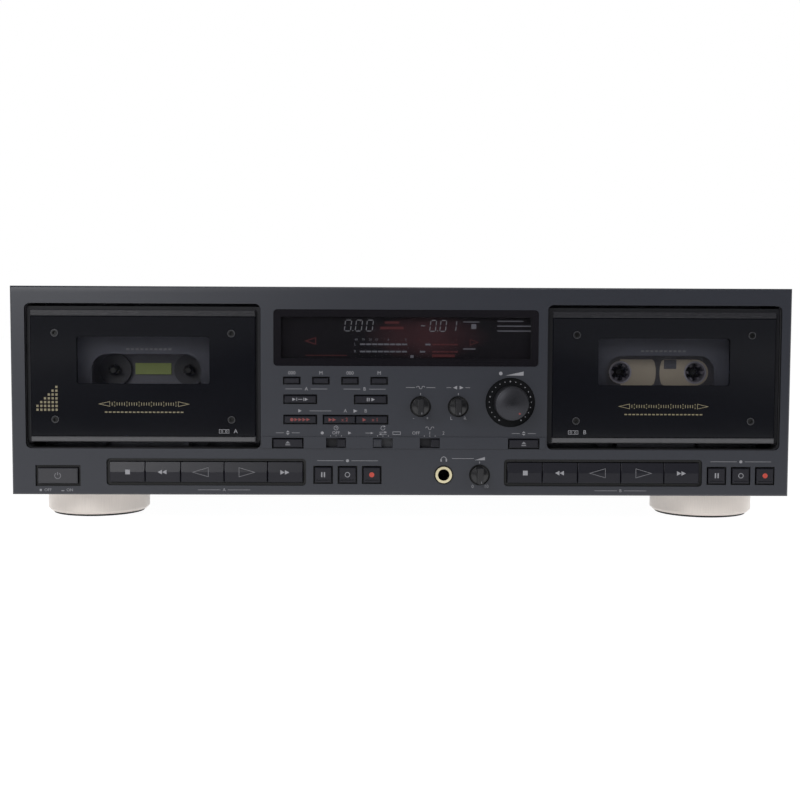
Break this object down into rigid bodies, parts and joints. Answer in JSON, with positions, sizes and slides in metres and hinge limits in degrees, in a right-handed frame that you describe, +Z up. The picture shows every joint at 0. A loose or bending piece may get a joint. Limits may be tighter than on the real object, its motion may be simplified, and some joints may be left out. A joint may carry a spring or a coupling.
{
  "type": "double cassette deck",
  "caption": "Full-width double cassette deck with two tilting tape doors, a display, key rows, slide switches, level knobs and a headphone socket.",
  "frame": {"origin": "middle of the object's overall box at the level the feet stand on", "axes": "+X to the right seen from the front, +Y to the back, +Z up"},
  "size_m": [0.43, 0.29, 0.13],
  "materials": {
    "panel": "fine matt texture, dark bluish grey",
    "plated_steel": "zinc plated sheet",
    "cover_paint": "fine textured black paint",
    "rear_paint": "satin black paint",
    "display_window": "smoked acrylic",
    "display": "dark glass over a printed board",
    "feet": "champagne silver metallic coat",
    "pads": "matt black rubber",
    "screws": "blackened steel",
    "sockets": "black plastic with plated barrels",
    "phones_socket": "pale gold plate",
    "boards": "solder masked laminate",
    "transformer": "lamination steel with a taped winding",
    "mechanism": "plated steel plate and turned parts",
    "door": "black moulding",
    "lens": "smoked acrylic",
    "trim": "dark anodised, brushed",
    "cassette": "grey cassette shell",
    "keys": "satin black moulding",
    "sliders": "satin black moulding",
    "knobs": "satin dark grey moulding",
    "reels": "black moulding"
  },
  "bodies": {
    "cabinet": {"front_panel": "panel", "chassis": "plated_steel", "top_cover": "cover_paint", "rear_panel": "rear_paint", "display_window": "display_window", "display_module": "display", "feet": "feet", "foot_pads": "pads", "case_screws": "screws", "rear_sockets": "sockets", "headphone_socket": "phones_socket", "circuit_boards": "boards", "power_transformer": "transformer", "tape_mechanisms": "mechanism"},
    "door_a": {"door_a": "door", "door_lens_a": "lens", "door_trim_a": "trim"},
    "door_b": {"door_b": "door", "door_lens_b": "lens", "door_trim_b": "trim", "loaded_cassette": "cassette"},
    "reel_a_left": {"reel_a_left": "reels"},
    "reel_a_right": {"reel_a_right": "reels"},
    "reel_b_left": {"reel_b_left": "reels"},
    "reel_b_right": {"reel_b_right": "reels"},
    "power_button": {"power_button": "keys"},
    "deck_a_stop_key": {"deck_a_stop_key": "keys"},
    "deck_a_rewind_key": {"deck_a_rewind_key": "keys"},
    "deck_a_reverse_key": {"deck_a_reverse_key": "keys"},
    "deck_a_play_key": {"deck_a_play_key": "keys"},
    "deck_a_forward_key": {"deck_a_forward_key": "keys"},
    "deck_b_stop_key": {"deck_b_stop_key": "keys"},
    "deck_b_rewind_key": {"deck_b_rewind_key": "keys"},
    "deck_b_reverse_key": {"deck_b_reverse_key": "keys"},
    "deck_b_play_key": {"deck_b_play_key": "keys"},
    "deck_b_forward_key": {"deck_b_forward_key": "keys"},
    "deck_a_pause_key": {"deck_a_pause_key": "keys"},
    "deck_a_mute_key": {"deck_a_mute_key": "keys"},
    "deck_a_record_key": {"deck_a_record_key": "keys"},
    "deck_b_pause_key": {"deck_b_pause_key": "keys"},
    "deck_b_mute_key": {"deck_b_mute_key": "keys"},
    "deck_b_record_key": {"deck_b_record_key": "keys"},
    "counter_key_1": {"counter_key_1": "keys"},
    "counter_key_2": {"counter_key_2": "keys"},
    "counter_key_3": {"counter_key_3": "keys"},
    "counter_key_4": {"counter_key_4": "keys"},
    "blank_skip_key": {"blank_skip_key": "keys"},
    "auto_pause_key": {"auto_pause_key": "keys"},
    "start_key": {"start_key": "keys"},
    "dub_fast_key": {"dub_fast_key": "keys"},
    "dub_normal_key": {"dub_normal_key": "keys"},
    "door_key_a": {"door_key_a": "keys"},
    "door_key_b": {"door_key_b": "keys"},
    "timer_switch": {"timer_switch": "sliders"},
    "direction_switch": {"direction_switch": "sliders"},
    "noise_switch": {"noise_switch": "sliders"},
    "bias_knob": {"bias_knob": "knobs"},
    "balance_knob": {"balance_knob": "knobs"},
    "phones_level_knob": {"phones_level_knob": "knobs"},
    "level_knob": {"level_knob": "knobs"}
  },
  "joints": [
    {"name": "door_a_hinge", "type": "hinge", "parent": "cabinet", "child": "door_a", "pos_m": [-0.1426, -0.1257, 0.0453], "axis": [1, 0, 0], "range_deg": [0, 28]},
    {"name": "door_b_hinge", "type": "hinge", "parent": "cabinet", "child": "door_b", "pos_m": [0.145, -0.1257, 0.0453], "axis": [1, 0, 0], "range_deg": [0, 28]},
    {"name": "reel_a_left_spin", "type": "hinge", "parent": "cabinet", "child": "reel_a_left", "pos_m": [-0.16385, -0.103, 0.083], "axis": [0, 1, 0], "continuous": true},
    {"name": "reel_a_right_spin", "type": "hinge", "parent": "cabinet", "child": "reel_a_right", "pos_m": [-0.12135, -0.103, 0.083], "axis": [0, 1, 0], "continuous": true},
    {"name": "reel_b_left_spin", "type": "hinge", "parent": "cabinet", "child": "reel_b_left", "pos_m": [0.12375, -0.103, 0.083], "axis": [0, 1, 0], "continuous": true},
    {"name": "reel_b_right_spin", "type": "hinge", "parent": "cabinet", "child": "reel_b_right", "pos_m": [0.16625, -0.103, 0.083], "axis": [0, 1, 0], "continuous": true},
    {"name": "power_button_press", "type": "slide", "parent": "cabinet", "child": "power_button", "axis": [0, 1, 0], "range_m": [0, 0.003], "stiffness_N_per_m": 500},
    {"name": "deck_a_stop_key_press", "type": "slide", "parent": "cabinet", "child": "deck_a_stop_key", "axis": [0, 1, 0], "range_m": [0, 0.0008], "stiffness_N_per_m": 800},
    {"name": "deck_a_rewind_key_press", "type": "slide", "parent": "cabinet", "child": "deck_a_rewind_key", "axis": [0, 1, 0], "range_m": [0, 0.0008], "stiffness_N_per_m": 800},
    {"name": "deck_a_reverse_key_press", "type": "slide", "parent": "cabinet", "child": "deck_a_reverse_key", "axis": [0, 1, 0], "range_m": [0, 0.0008], "stiffness_N_per_m": 800},
    {"name": "deck_a_play_key_press", "type": "slide", "parent": "cabinet", "child": "deck_a_play_key", "axis": [0, 1, 0], "range_m": [0, 0.0008], "stiffness_N_per_m": 800},
    {"name": "deck_a_forward_key_press", "type": "slide", "parent": "cabinet", "child": "deck_a_forward_key", "axis": [0, 1, 0], "range_m": [0, 0.0008], "stiffness_N_per_m": 800},
    {"name": "deck_b_stop_key_press", "type": "slide", "parent": "cabinet", "child": "deck_b_stop_key", "axis": [0, 1, 0], "range_m": [0, 0.0008], "stiffness_N_per_m": 800},
    {"name": "deck_b_rewind_key_press", "type": "slide", "parent": "cabinet", "child": "deck_b_rewind_key", "axis": [0, 1, 0], "range_m": [0, 0.0008], "stiffness_N_per_m": 800},
    {"name": "deck_b_reverse_key_press", "type": "slide", "parent": "cabinet", "child": "deck_b_reverse_key", "axis": [0, 1, 0], "range_m": [0, 0.0008], "stiffness_N_per_m": 800},
    {"name": "deck_b_play_key_press", "type": "slide", "parent": "cabinet", "child": "deck_b_play_key", "axis": [0, 1, 0], "range_m": [0, 0.0008], "stiffness_N_per_m": 800},
    {"name": "deck_b_forward_key_press", "type": "slide", "parent": "cabinet", "child": "deck_b_forward_key", "axis": [0, 1, 0], "range_m": [0, 0.0008], "stiffness_N_per_m": 800},
    {"name": "deck_a_pause_key_press", "type": "slide", "parent": "cabinet", "child": "deck_a_pause_key", "axis": [0, 1, 0], "range_m": [0, 0.0008], "stiffness_N_per_m": 800},
    {"name": "deck_a_mute_key_press", "type": "slide", "parent": "cabinet", "child": "deck_a_mute_key", "axis": [0, 1, 0], "range_m": [0, 0.0008], "stiffness_N_per_m": 800},
    {"name": "deck_a_record_key_press", "type": "slide", "parent": "cabinet", "child": "deck_a_record_key", "axis": [0, 1, 0], "range_m": [0, 0.0008], "stiffness_N_per_m": 800},
    {"name": "deck_b_pause_key_press", "type": "slide", "parent": "cabinet", "child": "deck_b_pause_key", "axis": [0, 1, 0], "range_m": [0, 0.0008], "stiffness_N_per_m": 800},
    {"name": "deck_b_mute_key_press", "type": "slide", "parent": "cabinet", "child": "deck_b_mute_key", "axis": [0, 1, 0], "range_m": [0, 0.0008], "stiffness_N_per_m": 800},
    {"name": "deck_b_record_key_press", "type": "slide", "parent": "cabinet", "child": "deck_b_record_key", "axis": [0, 1, 0], "range_m": [0, 0.0008], "stiffness_N_per_m": 800},
    {"name": "counter_key_1_press", "type": "slide", "parent": "cabinet", "child": "counter_key_1", "axis": [0, 1, 0], "range_m": [0, 0.0008], "stiffness_N_per_m": 800},
    {"name": "counter_key_2_press", "type": "slide", "parent": "cabinet", "child": "counter_key_2", "axis": [0, 1, 0], "range_m": [0, 0.0008], "stiffness_N_per_m": 800},
    {"name": "counter_key_3_press", "type": "slide", "parent": "cabinet", "child": "counter_key_3", "axis": [0, 1, 0], "range_m": [0, 0.0008], "stiffness_N_per_m": 800},
    {"name": "counter_key_4_press", "type": "slide", "parent": "cabinet", "child": "counter_key_4", "axis": [0, 1, 0], "range_m": [0, 0.0008], "stiffness_N_per_m": 800},
    {"name": "blank_skip_key_press", "type": "slide", "parent": "cabinet", "child": "blank_skip_key", "axis": [0, 1, 0], "range_m": [0, 0.0008], "stiffness_N_per_m": 800},
    {"name": "auto_pause_key_press", "type": "slide", "parent": "cabinet", "child": "auto_pause_key", "axis": [0, 1, 0], "range_m": [0, 0.0008], "stiffness_N_per_m": 800},
    {"name": "start_key_press", "type": "slide", "parent": "cabinet", "child": "start_key", "axis": [0, 1, 0], "range_m": [0, 0.0008], "stiffness_N_per_m": 800},
    {"name": "dub_fast_key_press", "type": "slide", "parent": "cabinet", "child": "dub_fast_key", "axis": [0, 1, 0], "range_m": [0, 0.0008], "stiffness_N_per_m": 800},
    {"name": "dub_normal_key_press", "type": "slide", "parent": "cabinet", "child": "dub_normal_key", "axis": [0, 1, 0], "range_m": [0, 0.0008], "stiffness_N_per_m": 800},
    {"name": "door_key_a_press", "type": "slide", "parent": "cabinet", "child": "door_key_a", "axis": [0, 1, 0], "range_m": [0, 0.0008], "stiffness_N_per_m": 800},
    {"name": "door_key_b_press", "type": "slide", "parent": "cabinet", "child": "door_key_b", "axis": [0, 1, 0], "range_m": [0, 0.0008], "stiffness_N_per_m": 800},
    {"name": "timer_switch_slide", "type": "slide", "parent": "cabinet", "child": "timer_switch", "axis": [1, 0, 0], "range_m": [-0.006, 0]},
    {"name": "direction_switch_slide", "type": "slide", "parent": "cabinet", "child": "direction_switch", "axis": [1, 0, 0], "range_m": [0, 0.006]},
    {"name": "noise_switch_slide", "type": "slide", "parent": "cabinet", "child": "noise_switch", "axis": [1, 0, 0], "range_m": [-0.006, 0]},
    {"name": "bias_knob_turn", "type": "hinge", "parent": "cabinet", "child": "bias_knob", "pos_m": [0.0103, -0.133, 0.0644], "axis": [0, 1, 0], "range_deg": [-150, 150]},
    {"name": "balance_knob_turn", "type": "hinge", "parent": "cabinet", "child": "balance_knob", "pos_m": [0.0311, -0.133, 0.0644], "axis": [0, 1, 0], "range_deg": [-150, 150]},
    {"name": "phones_level_knob_turn", "type": "hinge", "parent": "cabinet", "child": "phones_level_knob", "pos_m": [0.0432, -0.133, 0.0265], "axis": [0, 1, 0], "range_deg": [-150, 150]},
    {"name": "level_knob_turn", "type": "hinge", "parent": "cabinet", "child": "level_knob", "pos_m": [0.0599, -0.133, 0.0668], "axis": [0, 1, 0], "range_deg": [-285, 15]}
  ]
}
